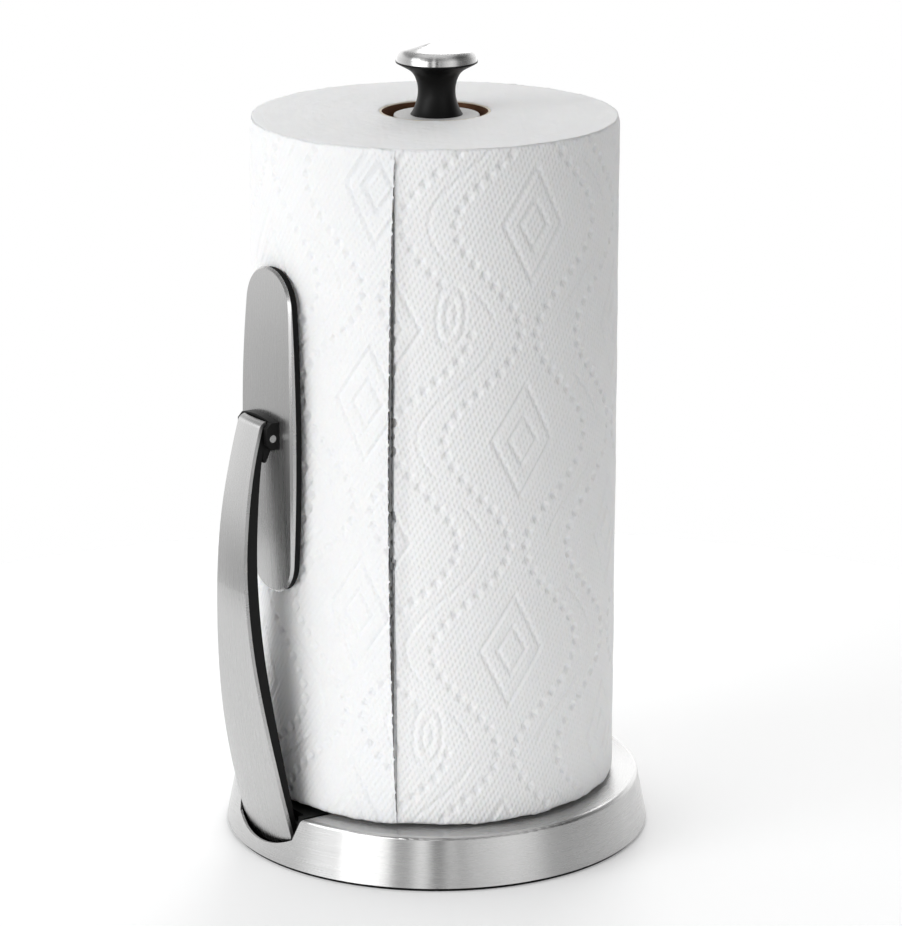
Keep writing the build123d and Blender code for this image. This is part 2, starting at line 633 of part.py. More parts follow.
def pad_bracket():
    """Black clevis on the plate: two cheeks and a domed bridge over the arm's tongue."""
    cheek = make_face(Polyline(
        (-78, BRACKET_BOTTOM_Z), (-(BRACKET_OUT - 1.8), BRACKET_BOTTOM_Z), (-BRACKET_OUT, 178.0),
        (-BRACKET_OUT, 184.6), (-BRIDGE_OUT, BRACKET_SIDE_TOP_Z), (-BRIDGE_OUT, 190), (-78, 190), close=True))
    body = extrude(Plane.XZ * cheek, BRACKET_HALF, both=True)
    left = (-BRACKET_HALF, BRACKET_SIDE_TOP_Z)
    right = (BRACKET_HALF, BRACKET_SIDE_TOP_Z)
    crown = ThreePointArc(left, (0, BRACKET_CROWN_Z), right)
    walls = Polyline(right, (BRACKET_HALF, 170), (-BRACKET_HALF, 170), left)
    arch = make_face([crown] + walls.edges())
    body &= extrude(Plane.YZ * arch, 100, dir=(-1, 0, 0))
    body -= block(70, 100, BRACKET_SLOT_HALF, 160, BRIDGE_UNDER_Z)
    body -= block(BRIDGE_OUT, 100, BRACKET_SLOT_HALF, 160, 200)
    body -= pad_crown(0)
    for y, z in BRACKET_SCREW_SPOTS:
        body -= rod_x(BRACKET_SCREW_R, BRACKET_SCREW_HEAD_X - 2.6, y, z, 4.0)
    return body - rod_y(PIN_R, PIN_OUT, PAD_Z, -20, 20)


def pad_pin():
    return rod_y(PIN_R, PIN_OUT, PAD_Z, -BRACKET_HALF - 0.2, BRACKET_HALF + 0.2)


# ---------------------------------------------------------------- roll

def cardboard_core():
    return Pos(-ROLL_OUT, 0, 0) * tube(CORE_R, CORE_R - CORE_WALL, BASE_TOP, CORE_TOP)


def paper_roll():
    """The wound paper under its outer sheet, with softly rounded ends."""
    roll = tube(ROLL_R - SHEET_THICK - SHEET_GAP, CORE_R + RUNNING_GAP, BASE_TOP + 0.2, ROLL_TOP)
    rims = roll.edges().filter_by(GeomType.CIRCLE).filter_by(lambda e: e.radius > CORE_R + 1)
    return Pos(-ROLL_OUT, 0, 0) * fillet(rims, 1.2)


def outer_sheet():
    """The last sheet: one turn round the roll, with a free edge where the roll is torn off."""
    sheet = tube(ROLL_R, ROLL_R - SHEET_THICK, BASE_TOP + 1.5, ROLL_TOP - 1.2)
    first = math.radians(SHEET_EDGE_DEG)
    last = math.radians(SHEET_EDGE_DEG + SHEET_OPEN_DEG)
    reach = ROLL_R + 20
    wedge = make_face(Polyline((0, 0), (reach * math.cos(first), reach * math.sin(first)),
                               (reach * math.cos(last), reach * math.sin(last)), close=True))
    return Pos(-ROLL_OUT, 0, 0) * (sheet - extrude(wedge, 400))


PARTS = [
    base_shell, base_weight, base_pan, base_foot_pad, pan_screws, housing_screws, hinge_housing,
    arm_pivot_pin, torsion_spring, post_foot, post_tube, post_cap, tie_rod, tie_rod_nut, tie_rod_washer,
    knob_neck, knob_insert, knob_cap, arm_cover, arm_core, arm_bushings, pad_plate, pad_carrier,
    pad_rubber, pad_bracket, bracket_screws, pad_pin, cardboard_core, paper_roll, outer_sheet]

os.makedirs("parts", exist_ok=True)
for part in PARTS:
    export_step(part(), f"parts/{part.__name__}.step")
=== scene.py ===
"""A paper towel holder with a full roll: materials, embossed paper and studio, on the CAD frame."""
import math

import bpy
import numpy as np
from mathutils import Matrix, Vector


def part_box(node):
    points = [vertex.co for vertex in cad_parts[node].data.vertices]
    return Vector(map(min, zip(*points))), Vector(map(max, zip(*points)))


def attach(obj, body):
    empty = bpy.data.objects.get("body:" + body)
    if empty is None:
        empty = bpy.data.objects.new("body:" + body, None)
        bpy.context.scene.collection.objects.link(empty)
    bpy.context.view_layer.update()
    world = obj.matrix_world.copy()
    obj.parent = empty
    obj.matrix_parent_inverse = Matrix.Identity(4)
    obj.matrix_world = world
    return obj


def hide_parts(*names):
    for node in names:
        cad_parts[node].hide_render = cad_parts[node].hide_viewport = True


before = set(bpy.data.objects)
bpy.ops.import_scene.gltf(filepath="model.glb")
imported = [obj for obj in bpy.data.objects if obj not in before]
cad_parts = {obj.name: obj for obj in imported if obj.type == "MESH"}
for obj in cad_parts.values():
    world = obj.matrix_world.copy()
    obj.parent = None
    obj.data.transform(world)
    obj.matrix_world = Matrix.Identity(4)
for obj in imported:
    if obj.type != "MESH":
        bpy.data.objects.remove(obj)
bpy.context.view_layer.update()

MM = 0.001
TURN = 2 * math.pi
random = np.random.default_rng(7)

# The camera: where it stands, seen from the post's axis.
CAMERA_AZIMUTH = -33.0
CAMERA_ELEVATION = 15.8
CAMERA_DISTANCE = 1.6286
AIM_HEIGHT = 0.1545
LENS = 153.2
SHIFT_X = 0.0155

# The roll, worked out from the CAD nodes that it replaces.
sheet_low, sheet_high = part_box("outer_sheet")
roll_low, roll_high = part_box("paper_roll")
core_low, core_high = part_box("cardboard_core")
ROLL_X = (roll_low[0] + roll_high[0]) / 2
SHEET_R = (sheet_high[1] - sheet_low[1]) / 2 / MM
CORE_R = (core_high[1] - core_low[1]) / 2 / MM
FACING = math.radians(270 + CAMERA_AZIMUTH)  # the roll's polar angle that faces the camera


# ---------------------------------------------------------------- shader building


class Shader:
    """A node tree with short calls for the nodes used here."""

    def __init__(self, tree):
        self.tree = tree

    def node(self, kind, inputs=None, **settings):
        made = self.tree.nodes.new("ShaderNode" + kind)
        for name, value in settings.items():
            setattr(made, name, value)
        for name, value in (inputs or {}).items():
            self.feed(made.inputs[name], value)
        return made

    def feed(self, socket, value):
        if isinstance(value, bpy.types.NodeSocket):
            self.tree.links.new(value, socket)
        else:
            socket.default_value = value

    def math(self, operation, first, second=0.0, third=0.0):
        made = self.node("Math", operation=operation)
        for socket, value in zip(made.inputs, (first, second, third)):
            self.feed(socket, value)
        return made.outputs[0]

    def dot(self, vector, direction):
        made = self.node("VectorMath", {0: vector, 1: direction}, operation="DOT_PRODUCT")
        return made.outputs["Value"]

    def combine(self, x, y, z):
        return self.node("CombineXYZ", {"X": x, "Y": y, "Z": z}).outputs[0]

    def split(self, vector):
        return self.node("SeparateXYZ", {0: vector}).outputs

    def noise(self, vector, scale, detail=3.0, roughness=0.5):
        values = {"Vector": vector, "Scale": scale, "Detail": detail, "Roughness": roughness}
        return self.node("TexNoise", values).outputs["Fac"]

    def ramp(self, value, stops, smooth=False):
        """stops is a list of (position, grey or colour)."""
        made = self.node("ValToRGB", {"Fac": value})
        made.color_ramp.interpolation = "EASE" if smooth else "LINEAR"
        points = made.color_ramp.elements
        while len(points) < len(stops):
            points.new(0.5)
        for point, (position, colour) in zip(points, stops):
            point.position = position
            point.color = (*((colour,) * 3 if isinstance(colour, (int, float)) else colour), 1)
        return made.outputs["Color"]

    def span(self, value, low, high):
        """A 0 to 1 value spread over low to high."""
        made = self.node("MapRange", {"Value": value, "To Min": low, "To Max": high})
        return made.outputs["Result"]

    def mix(self, factor, first, second):
        made = self.node("Mix", data_type="RGBA")
        for name, value in (("Factor", factor), ("A", first), ("B", second)):
            socket = next(s for s in made.inputs if s.name == name and s.type in ("VALUE", "RGBA")
                          and (s.type == "RGBA") == (name != "Factor"))
            self.feed(socket, value)
        return next(s for s in made.outputs if s.type == "RGBA")

    def bump(self, height, distance, strength=1.0, normal=None):
        made = self.node("Bump", {"Height": height, "Distance": distance, "Strength": strength})
        if normal is not None:
            self.feed(made.inputs["Normal"], normal)
        return made.outputs["Normal"]


class Surface(Shader):
    """A material with one Principled shader."""

    def __init__(self, name, **values):
        self.material = bpy.data.materials.new(name)
        self.material.use_nodes = True
        super().__init__(self.material.node_tree)
        self.principled = self.tree.nodes["Principled BSDF"]
        self.place = self.node("TexCoord").outputs["Object"]
        self.set(**values)

    def set(self, **values):
        for name, value in values.items():
            self.feed(self.principled.inputs[name.replace("_", " ")], value)


def grey(level, warmth=0.0):
    return (level * (1 + warmth), level, level * (1 - warmth), 1)


# ---------------------------------------------------------------- materials


def steel_finish(surface, streaks, level=0.56, roughness=0.27, scratch_depth=0.01):
    """Brushed stainless steel from a streak vector: fine scratches, with faint smudges over them."""
    fine = surface.noise(streaks, 1.0, 4.0, 0.65)
    coarse = surface.noise(streaks, 0.23, 2.0)
    smudge = surface.noise(surface.place, 38.0, 3.0)
    mixed = surface.math("ADD", surface.math("MULTIPLY", fine, 0.6), surface.math("MULTIPLY", coarse, 0.4))
    rough = surface.math("ADD", surface.span(mixed, roughness - 0.09, roughness + 0.09),
                         surface.span(smudge, -0.03, 0.03))
    colour = surface.mix(mixed, grey(level - 0.07, 0.004), grey(level + 0.05, 0.004))
    surface.set(Base_Color=colour, Roughness=rough, Metallic=1.0,
                Normal=surface.bump(mixed, scratch_depth * MM))
    return surface.material


def spun_steel():
    """Steel brushed in circles about the upright axis, as on the base and the knob."""
    surface = Surface("spun_steel", Anisotropic=0.92, Anisotropic_Rotation=0.25)
    x, y, z = surface.split(surface.place)
    flat = surface.combine(x, y, 0.0)
    length = surface.node("VectorMath", {0: flat}, operation="LENGTH").outputs["Value"]
    around = surface.node("VectorMath", {0: flat}, operation="NORMALIZE").outputs["Vector"]
    ax, ay, _ = surface.split(around)
    across = surface.math("MULTIPLY", surface.math("SUBTRACT", length, z), 2200.0)
    streaks = surface.combine(surface.math("MULTIPLY", ax, 5.0), surface.math("MULTIPLY", ay, 5.0), across)
    surface.set(Tangent=surface.node("Tangent", direction_type="RADIAL", axis="Z").outputs[0])
    return steel_finish(surface, streaks)


def long_steel(name):
    """Steel brushed along its length, as on the arm and the pad."""
    surface = Surface(name, Anisotropic=0.85)
    x, y, z = surface.split(surface.place)
    streaks = surface.combine(surface.math("MULTIPLY", y, 2200.0), surface.math("MULTIPLY", z, 22.0),
                              surface.math("MULTIPLY", x, 22.0))
    surface.set(Tangent=surface.combine(0.25, 1.0, 0.1))
    return steel_finish(surface, streaks)


def plated_steel():
    """Bright plated hardware, with a faint fine grain."""
    surface = Surface("plated_steel", Metallic=1.0)
    grain = surface.noise(surface.place, 900.0, 4.0)
    surface.set(Base_Color=surface.mix(grain, grey(0.55), grey(0.74)),
                Roughness=surface.span(grain, 0.16, 0.34), Normal=surface.bump(grain, 0.02 * MM))
    return surface.material


def cast_iron():
    surface = Surface("cast_iron", Metallic=0.6)
    sand = surface.noise(surface.place, 700.0, 5.0, 0.7)
    pits = surface.node("TexVoronoi", {"Vector": surface.place, "Scale": 320.0}).outputs["Distance"]
    height = surface.math("ADD", sand, surface.math("MULTIPLY", pits, 0.5))
    surface.set(Base_Color=surface.mix(sand, grey(0.04), grey(0.15, 0.05)),
                Roughness=surface.span(sand, 0.55, 0.9), Normal=surface.bump(height, 0.25 * MM))
    return surface.material


def moulded(name, level, roughness, grain_depth, scale=1400.0, warmth=0.0, spread=0.25, gloss=0.16):
    """Moulded plastic or rubber with a fine spark-eroded grain."""
    surface = Surface(name, Specular_IOR_Level=gloss)
    grain = surface.noise(surface.place, scale, 3.0, 0.6)
    cloud = surface.noise(surface.place, 60.0, 3.0)
    colour = surface.mix(cloud, grey(level * (1 - spread), warmth), grey(level * (1 + spread), warmth))
    rough = surface.math("ADD", surface.span(grain, roughness - 0.06, roughness + 0.06),
                         surface.span(cloud, -0.04, 0.04))
    surface.set(Base_Color=colour, Roughness=rough, Normal=surface.bump(grain, grain_depth * MM))
    return surface.material


def speckled_plastic():
    """The post's light grey cap: a matt moulding with a pebbled face."""
    surface = Surface("speckled_plastic", Specular_IOR_Level=0.3)
    pebble = surface.node("TexVoronoi", {"Vector": surface.place, "Scale": 900.0}).outputs["Distance"]
    fleck = surface.noise(surface.place, 1800.0, 4.0, 0.7)
    surface.set(Base_Color=surface.mix(fleck, grey(0.42, 0.01), grey(0.86, 0.01)),
                Roughness=surface.span(fleck, 0.6, 0.85), Normal=surface.bump(pebble, 0.12 * MM))
    return surface.material


def cardboard():
    """Brown wound board: fibres, a spiral seam, a brown darkened partly as painted shade for the core's
    shadowed hole, and a cream painted highlight on the lit top end.
    """
    surface = Surface("cardboard", Specular_IOR_Level=0.2)
    x, y, z = surface.split(surface.place)
    fibre = surface.noise(surface.combine(x, y, surface.math("MULTIPLY", z, 3.0)), 900.0, 5.0, 0.7)
    angle = surface.math("DIVIDE", surface.math("ARCTAN2", y, x), TURN)
    climb = surface.math("ADD", surface.math("MULTIPLY", z, 14.0), angle)
    seam = surface.math("PINGPONG", climb, 0.5)
    seam_line = surface.ramp(seam, [(0.0, 0.0), (0.012, 1.0)])
    # The board's brown is partly its own colour and partly painted shade: it is made darker to stand for the
    # shadow inside the core's hole.
    board = surface.mix(fibre, (0.07, 0.03, 0.014, 1), (0.27, 0.13, 0.07, 1))
    # The top 0.3 mm of the core is painted cream: a painted highlight on its lit top cut end.
    end = surface.math("GREATER_THAN", z, core_high[2] - 0.3 * MM)
    surface.set(Base_Color=surface.mix(end, board, (0.74, 0.67, 0.56, 1)),
                Roughness=surface.span(fibre, 0.75, 0.95),
                Normal=surface.bump(surface.math("MULTIPLY", fibre, seam_line), 0.12 * MM))
    return surface.material


# The sheet's small cells: two wave vectors across and up, in waves a millimetre.
CELL_WAVES = (((0.39, -0.26), 1.0), ((0.63, 0.16), 0.6), ((0.24, 0.42), 0.4))


def paper(name):
    """Soft creped tissue, shared by the embossed sheet and the wound roll."""
    surface = Surface(name, Specular_IOR_Level=0.12, Subsurface_Weight=0.15, Subsurface_Scale=1.2 * MM,
                      Subsurface_Radius=(1.0, 0.72, 0.5), Sheen_Weight=0.1, Sheen_Roughness=0.6)
    fibre = surface.noise(surface.place, 1500.0, 5.0, 0.7)
    cloud = surface.noise(surface.place, 90.0, 3.0)
    surface.set(Base_Color=surface.mix(cloud, grey(0.86), grey(0.9, -0.003)),
                Roughness=surface.span(fibre, 0.85, 1.0))
    return surface, fibre


def embossed_paper():
    """The outer sheet: its cells follow the sheet's own map, in metres along and up it."""
    surface, fibre = paper("embossed_paper")
    place = surface.node("UVMap", uv_map="Sheet").outputs["UV"]
    drift = surface.noise(place, 260.0, 2.0)
    cells = 0.0
    for (across, up), weight in CELL_WAVES:
        phase = surface.dot(place, (across * TURN / MM, up * TURN / MM, 0))
        phase = surface.math("ADD", phase, surface.math("MULTIPLY", drift, 2.2))
        cells = surface.math("ADD", surface.math("MULTIPLY", surface.math("COSINE", phase), weight), cells)
    cells = surface.math("ADD", cells, surface.math("MULTIPLY", fibre, 0.9))
    surface.set(Normal=surface.bump(cells, 0.055 * MM))
    return surface.material


def wound_paper():
    """The roll's ends: hundreds of cut layers, seen as fine uneven rings."""
    surface, fibre = paper("wound_paper")
    x, y, z = surface.split(surface.place)
    x = surface.math("SUBTRACT", x, ROLL_X)
    flat = surface.combine(x, y, 0.0)
    length = surface.node("VectorMath", {0: flat}, operation="LENGTH").outputs["Value"]
    around = surface.node("VectorMath", {0: flat}, operation="NORMALIZE").outputs["Vector"]
    ax, ay, _ = surface.split(around)
    rings = surface.combine(surface.math("MULTIPLY", ax, 26.0), surface.math("MULTIPLY", ay, 26.0),
                            surface.math("MULTIPLY", length, 1500.0))
    layers = surface.noise(rings, 1.0, 4.0, 0.7)
    height = surface.math("ADD", layers, surface.math("MULTIPLY", fibre, 0.8))
    surface.set(Normal=surface.bump(height, 0.3 * MM))
    return surface.material


# ---------------------------------------------------------------- the roll's meshes


def mesh_piece(name, points, faces, material, smooth=True):
    """A mesh object from points in millimetres."""
    mesh = bpy.data.meshes.new(name)
    mesh.from_pydata((np.asarray(points) * MM).tolist(), [], faces)
    mesh.polygons.foreach_set("use_smooth", np.full(len(mesh.polygons), smooth))
    mesh.materials.append(material)
    mesh.update()
    made = bpy.data.objects.new(name, mesh)
    bpy.context.scene.collection.objects.link(made)
    return made


def quads(rows, columns, first=0, closed=False):
    """Faces of a grid whose points run along a row first."""
    r = np.arange(rows - 1)[:, None] * columns
    c = np.arange(columns if closed else columns - 1)[None, :]
    after = (c + 1) % columns
    made = np.stack([r + c, r + after, r + columns + after, r + columns + c], -1)
    return (made.reshape(-1, 4) + first).tolist()


def waves(u, v, lengths, height, count=14):
    """A smooth uneven surface: a sum of waves of seeded directions and phases."""
    total = np.zeros(np.broadcast(u, v).shape)
    for _ in range(count):
        length = random.uniform(*lengths)
        heading, phase = random.uniform(0, TURN, 2)
        total += np.sin((u * math.cos(heading) + v * math.sin(heading)) * TURN / length + phase)
    return total * height / math.sqrt(count)


# The emboss, in millimetres along and up the sheet.
MOTIF_ALONG, MOTIF_UP = 33.8, 238.3  # the middle of one diamond
COLUMN_PITCH, ROW_PITCH = 58.0, 86.6
COLUMN_LEAN, ROW_TILT = 0.0537, -0.0664
DIAMONDS = ((14.4, 24.3, 0.62), (7.3, 11.1, 0.62))  # half width, half height, depth
GROOVE_HALF = 0.8
WAVE_MIDDLE, WAVE_SWING = 18.35, 14.75
DOTS_PER_WAVE = 18
DOT_R, DOT_DEPTH = 1.4, 1.0
LINE_HALF, LINE_DEPTH = 0.7, 0.42
# The parts of a wave, in pitches above a diamond's middle, where its thin line is pressed.
LINE_SPANS = (((-0.477, -0.12), (-0.015, 0.31)), ((0.05, 0.21), (0.31, 0.97)))
LEAF_PLACE = (25.0, 7.0)
LEAVES = ((5.6, 11.5), (2.0, 5.6))  # half width and half height of each ring
LEAF_LINE_HALF, LEAF_LINE_DEPTH = 0.7, 0.5
LEAF_CLEAR = (8, 14)  # the dots stop inside this half width and half height
LINE_FADE = 30  # how sharply a thin line begins and ends, over its phase


def groove(distance, half, depth):
    """A pressed line with slightly raised shoulders."""
    edge = np.abs(distance)
    return -depth * np.exp(-((edge / half) ** 2)) + 0.18 * depth * np.exp(-(((edge - 2 * half) / half) ** 2))


def wave_at(up):
    return WAVE_MIDDLE + WAVE_SWING * np.cos(up * TURN / ROW_PITCH)


def dot_heights():
    """Where a wave's dots lie, evenly spaced along one pitch of it."""
    up = np.linspace(0, ROW_PITCH, 400)
    run = np.concatenate([[0], np.cumsum(np.hypot(np.diff(up), np.diff(wave_at(up))))])
    return np.interp(np.arange(DOTS_PER_WAVE) * run[-1] / DOTS_PER_WAVE, run, up)


def emboss(along, up):
    """How far the sheet's face stands out at a point, from its pressed pattern."""
    u, v = along - MOTIF_ALONG, up - MOTIF_UP
    square = 1 - COLUMN_LEAN * ROW_TILT
    across, rise = (u - COLUMN_LEAN * v) / square, (v - ROW_TILT * u) / square
    nearest = np.round(across / COLUMN_PITCH)
    total = np.zeros(across.shape)
    leaf_mask = np.ones(across.shape)
    leaves = np.zeros(across.shape)
    dots = np.full(across.shape, 99.0)
    heights = dot_heights()
    for step in (-1, 0, 1):
        column = nearest + step
        a = across - column * COLUMN_PITCH
        r = rise - (column % 2) * ROW_PITCH / 2
        row = np.round(r / ROW_PITCH)
        r = r - row * ROW_PITCH
        for half_wide, half_tall, depth in DIAMONDS:
            slant = 1 / math.hypot(1 / half_wide, 1 / half_tall)
            ring = (np.abs(a) + 0.6) / half_wide + (np.abs(r) + 0.6) / half_tall - 1
            total += groove(ring * slant, GROOVE_HALF, depth)
        for height in heights:
            for turn in (-ROW_PITCH, 0):
                h = height + turn
                dots = np.minimum(dots, np.hypot(np.abs(a) - wave_at(h), r - h))
        phase = r / ROW_PITCH
        line = a - (wave_at(r) + COLUMN_PITCH / 2 - WAVE_MIDDLE)
        slope = np.sin(phase * TURN) * WAVE_SWING * TURN / ROW_PITCH
        line = line / np.hypot(1, slope)
        for odd, spans in enumerate(LINE_SPANS):
            for low, high in spans:
                for wrap in (-1, 0):
                    begun = np.clip((phase - low - wrap) * LINE_FADE, 0, 1)
                    fade = begun * np.clip((high + wrap - phase) * LINE_FADE, 0, 1)
                    total += groove(line, LINE_HALF, LINE_DEPTH) * fade * (column % 2 == odd)
        here = (column % 4 == 3) & (row % 2 == 1)
        x, y = a - LEAF_PLACE[0], r - LEAF_PLACE[1]
        for half_wide, half_tall in LEAVES:
            ring = (np.abs(x / half_wide) ** 2.6 + np.abs(y / half_tall) ** 2.6) ** (1 / 2.6) - 1
            leaves += groove(ring * half_wide, LEAF_LINE_HALF, LEAF_LINE_DEPTH) * here
        inside = np.hypot(x / LEAF_CLEAR[0], y / LEAF_CLEAR[1])
        leaf_mask = np.where(here & (inside < 1), 0.0, leaf_mask)
    pressed = -DOT_DEPTH * np.exp(-((dots / DOT_R) ** 4)) + 0.1 * np.exp(-(((dots - 2 * DOT_R) / 0.8) ** 2))
    return total + pressed * leaf_mask + leaves


# The outer sheet: one turn and a little more, its free edge towards the camera's left.
SHEET_STEP = 0.75
SHEET_TUCK = 8.0  # how far its inner end runs on under the free edge
SHEET_SINK = 0.6  # how much nearer the axis the sheet lies after one turn
SHEET_THICK, SHEET_BACKING = 0.35, 0.95
# The free edge, along the sheet: at half height, and how much further on at the ends.
EDGE_MIDDLE, EDGE_BOW = -18.2, 2.6
EDGE_LIFT, EDGE_CURL = 0.5, 7.0  # how far it stands off the roll, and over what length
# The soft ridge under the free edge: its height, and its reach each way.
SWELL, SWELL_BEFORE, SWELL_PAST = 1.9, 16.0, 9.0
TAB_PITCH, TAB_LENGTH = 4.7, 0.7
SHEET_LOW, SHEET_HIGH = sheet_low[2] / MM, sheet_high[2] / MM + 0.4
SHEET_LENGTH = TURN * SHEET_R + SHEET_TUCK


def on_roll(along, radius, up):
    """A point on the roll from its place along the sheet, its distance from the axis and its height."""
    angle = FACING + along / SHEET_R
    return np.stack([ROLL_X / MM + radius * np.cos(angle), radius * np.sin(angle), up], -1)


def swell(t):
    """The ridge that the roll has under the free edge, by distance along the sheet from that edge."""
    past = np.abs(TURN * SHEET_R - t)
    fall = 0.5 + 0.5 * np.cos(np.pi * np.minimum(past / SWELL_PAST, 1))
    return SWELL * np.where(t > TURN * SHEET_R, np.exp(-((past / SWELL_BEFORE) ** 2)),
                            np.maximum(np.exp(-((t / SWELL_BEFORE) ** 2)), fall))


def outer_sheet():
    t = np.linspace(0, SHEET_LENGTH, round(SHEET_LENGTH / SHEET_STEP))
    share = np.linspace(0, 1, round((SHEET_HIGH - SHEET_LOW) / SHEET_STEP))
    t, share = np.meshgrid(t, share)
    middle = 2 * share - 1
    along = EDGE_MIDDLE + EDGE_BOW * middle**2 * np.exp(-t / 30) - t
    rough_low = waves(along[0], along[0] * 0, (14, 40), 0.35) + waves(along[0], along[0] * 0, (3, 7), 0.1)
    rough_high = waves(along[0], along[0] * 0, (12, 30), 0.22) + waves(along[0], along[0] * 0, (2.5, 6), 0.12)
    low = SHEET_LOW + rough_low[None]
    high = SHEET_HIGH + rough_high[None]
    up = low + (high - low) * share
    tab = np.maximum(0, np.cos(up * TURN / TAB_PITCH)) ** 6 * (0.6 + 0.4 * np.sin(up * 0.9))
    along = along + TAB_LENGTH * tab * np.exp(-((t / 1.2) ** 2))
    fade = np.clip(np.minimum(up - low, high - up) / 2.5, 0, 1)
    lift = EDGE_LIFT * (1 - 0.75 * np.abs(middle) ** 2.2) * np.exp(-((t / EDGE_CURL) ** 1.5))
    lift = lift + swell(t) * (1 - 0.65 * middle**2)
    radius = SHEET_R - 0.15 - SHEET_SINK * t / (TURN * SHEET_R)
    radius = radius + lift + waves(along, up, (16, 60), 0.08)
    radius = radius + emboss(along, up) * (0.35 + 0.65 * fade) - 0.7 * (1 - fade) ** 2
    face = on_roll(along, radius, up)
    rows, columns = t.shape
    # The back of the sheet: plain, thin at the edges that show, and set back behind the dots elsewhere.
    back = [(0, 0.0), (0.012, 1.0), (0.988, 1.0), (1, 0.0)]
    back_points = []
    for place, inner in back:
        row = round(place * (rows - 1))
        deep = np.clip((t[0] - 12) / 12, 0, 1) * inner
        plain = SHEET_R - 0.15 - SHEET_SINK * t[0] / (TURN * SHEET_R) + lift[row] - 0.7 * (1 - inner)
        back_points.append(on_roll(along[row], plain - SHEET_THICK - SHEET_BACKING * deep, up[row]))
    points = np.concatenate([face.reshape(-1, 3), np.concatenate(back_points)])
    first_back = rows * columns
    faces = [f[::-1] for f in quads(rows, columns)]
    faces += quads(len(back), columns, first_back)
    for column in range(columns - 1):
        faces.append([column, column + 1, first_back + column + 1, first_back + column])
        top, top_back = (rows - 1) * columns + column, first_back + (len(back) - 1) * columns + column
        faces.append([top + 1, top, top_back, top_back + 1])
    marks = [round(place * (rows - 1)) for place, _ in back]
    for end, turn in ((0, 1), (columns - 1, -1)):
        for k in range(len(back) - 1):
            rim = [row * columns + end for row in range(marks[k], marks[k + 1] + 1)]
            rim += [first_back + (k + 1) * columns + end, first_back + k * columns + end]
            faces.append(rim[::turn])
    piece = mesh_piece("towel_sheet", points, faces, embossed_paper())
    flat = np.stack([along, up], -1).reshape(-1, 2) * MM
    places = np.zeros((len(points), 2))
    places[: len(flat)] = flat
    loops = np.zeros(len(piece.data.loops), int)
    piece.data.loops.foreach_get("vertex_index", loops)
    uv = piece.data.uv_layers.new(name="Sheet")
    uv.data.foreach_set("uv", places[loops].ravel())
    return piece


# The wound paper under it.
WOUND_GAP, RIM_GAP = 2.1, 1.15  # between the outer sheet's nominal face and the wound paper's side
WOUND_LOW, WOUND_RIM, WOUND_CROWN = roll_low[2] / MM + 0.9, 300.9, 302.3
WOUND_TURNS, WOUND_RINGS = 540, 64
# The side's straight bands below the rim: where they start, each one's height, and how many.
WOUND_SHOULDER, WOUND_BAND, WOUND_BANDS = 3.5, 30, 9


def wound_roll():
    inner = CORE_R + 0.1
    outer = SHEET_R - WOUND_GAP
    reach = np.linspace(0, 1, WOUND_RINGS)
    radius = inner + (SHEET_R - RIM_GAP - inner) * reach
    top = WOUND_CROWN + (WOUND_RIM - WOUND_CROWN) * reach**1.5
    profile = [(r, z, 1.0) for r, z in zip(radius, top)]
    profile += [(outer, WOUND_RIM - WOUND_SHOULDER - WOUND_BAND * k, 0.0) for k in range(WOUND_BANDS)]
    profile += [(outer, WOUND_LOW + 1.0, 0.0)]
    profile += [(r, WOUND_LOW, -0.5) for r in np.linspace(outer - 0.6, inner, 20)]
    profile += [(inner, WOUND_LOW + 20, 0.0), (inner, WOUND_CROWN - 20, 0.0)]
    r, z, rough = (np.array(column)[:, None] for column in zip(*profile))
    angle = np.arange(WOUND_TURNS)[None] * TURN / WOUND_TURNS
    x, y = r * np.cos(angle), r * np.sin(angle)
    uneven = waves(x, y, (9, 30), 0.08) + waves(r, angle * 8, (1.5, 4.0), 0.06) + waves(x, y, (2.2, 5), 0.05)
    z = z + uneven * np.abs(rough)
    points = np.stack([x + ROLL_X / MM, y, z + 0 * x], -1).reshape(-1, 3)
    faces = quads(len(profile), WOUND_TURNS, closed=True)
    last = (len(profile) - 1) * WOUND_TURNS
    for k in range(WOUND_TURNS):
        after = (k + 1) % WOUND_TURNS
        faces.append([last + k, last + after, after, k])
    return mesh_piece("wound_paper", points, faces, wound_paper())


# ---------------------------------------------------------------- the studio

# The light around the object by direction. Angles are from the camera's side, and grow to its right.
AROUND = (
    (-180, 1.7), (-125, 1.3), (-95, 0.9), (-80, 0.9), (-60, 1.35), (-47, 1.35), (-40, 1.0),
    (-34, 0.15), (-29, 0.75), (-22, 0.4), (-15, 0.4), (-9, 1.9), (-5, 1.6), (-2, 0.04), (3, 0.04),
    (6, 1.0), (9, 0.9), (13, 0.5), (19, 0.9), (42, 1.4), (55, 1.1), (64, 0.4), (75, 0.22),
    (95, 0.25), (112, 0.5), (128, 1.1), (150, 1.5), (180, 1.7),
)
# How much of it there is by elevation, and the overhead light.
BAND = (
    (-90, 0.4), (-22, 0.45), (-14, 0.6), (-6, 0.95), (0, 1.0),
    (20, 1.0), (32, 0.35), (60, 0.3), (90, 0.3),
)
OVERHEAD = ((-90, 0.0), (52, 0.0), (66, 0.7), (90, 0.7))
RAMP_SCALE = 2.0
CAMERA_SIDE = (math.sin(math.radians(CAMERA_AZIMUTH)), -math.cos(math.radians(CAMERA_AZIMUTH)), 0)
CAMERA_RIGHT = (-CAMERA_SIDE[1], CAMERA_SIDE[0], 0)


